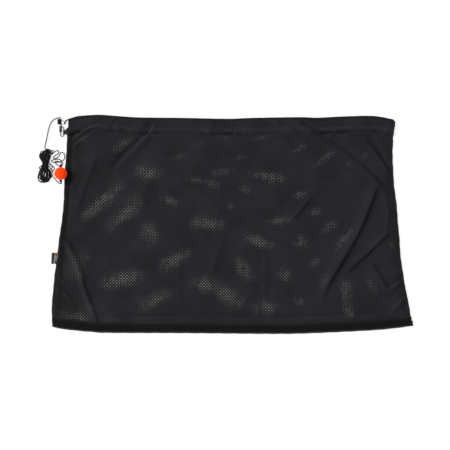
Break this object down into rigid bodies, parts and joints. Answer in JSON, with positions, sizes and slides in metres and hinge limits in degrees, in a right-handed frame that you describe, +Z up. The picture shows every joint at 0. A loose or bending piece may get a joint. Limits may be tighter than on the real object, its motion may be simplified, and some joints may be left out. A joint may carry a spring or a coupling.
{
  "type": "mesh drawcord sack",
  "caption": "Wide black mesh sack laid flat, with a drawcord casing along its mouth, a bolt-type snap hook held by a webbing tab, and a cord in a hank that ends in an orange float ball.",
  "frame": {"origin": "centre of the laid-out sack on the surface it lies on", "axes": "+X along the mouth, away from the snap hook; +Y from the blind bottom to the mouth; +Z up, from the back panel to the front panel"},
  "size_m": [1.2493, 0.7286, 0.0425],
  "materials": {
    "black_mesh": "fine black knitted mesh, faint sheen",
    "black_tape": "black woven tape",
    "woven_label": "black woven label with a plain pale stripe",
    "black_cord": "black braided cord",
    "black_hook": "semi-gloss black coating",
    "nickel": "nickel plate",
    "spring_steel": "bare wire",
    "orange_foam": "matt orange foam skin",
    "copper_sleeve": "crimped copper sleeve, slightly tarnished"
  },
  "bodies": {
    "bag": {"back_panel": "black_mesh", "front_panel": "black_mesh", "hem_back": "black_mesh", "hem_front": "black_mesh", "left_seam": "black_mesh", "right_seam": "black_mesh", "bottom_seam": "black_mesh", "bottom_binding": "black_tape", "webbing_tab": "black_tape", "side_label": "woven_label", "drawcord": "black_cord", "drawcord_knot": "black_cord", "cord_leader": "black_cord", "cord_hank": "black_cord", "cord_loops": "black_cord", "ball_cord": "black_cord", "upper_knot": "black_cord", "lower_knot": "black_cord", "end_ferrule": "copper_sleeve"},
    "snap": {"snap_hook": "black_hook", "bolt_spring": "spring_steel"},
    "snap_bolt": {"snap_bolt": "black_hook"},
    "swivel_eye": {"swivel_eye": "nickel", "eye_knot": "black_cord"},
    "float_ball": {"float_ball": "orange_foam"}
  },
  "joints": [
    {"name": "snap_swing", "type": "hinge", "parent": "bag", "child": "snap", "pos_m": [-0.561, 0.3075, 0.0048], "axis": [0, 1, 0], "range_deg": [0, 100]},
    {"name": "bolt_slide", "type": "slide", "parent": "snap", "child": "snap_bolt", "axis": [0, 1, 0], "range_m": [0, 0.0068], "stiffness_N_per_m": 200, "deforming": ["bolt_spring"]},
    {"name": "eye_swivel", "type": "hinge", "parent": "snap", "child": "swivel_eye", "pos_m": [-0.572, 0.3405, 0.0048], "axis": [0, 1, 0], "continuous": true},
    {"name": "ball_spin", "type": "hinge", "parent": "bag", "child": "float_ball", "pos_m": [-0.5702, 0.169, 0.0215], "axis": [0, 1, 0], "continuous": true}
  ]
}
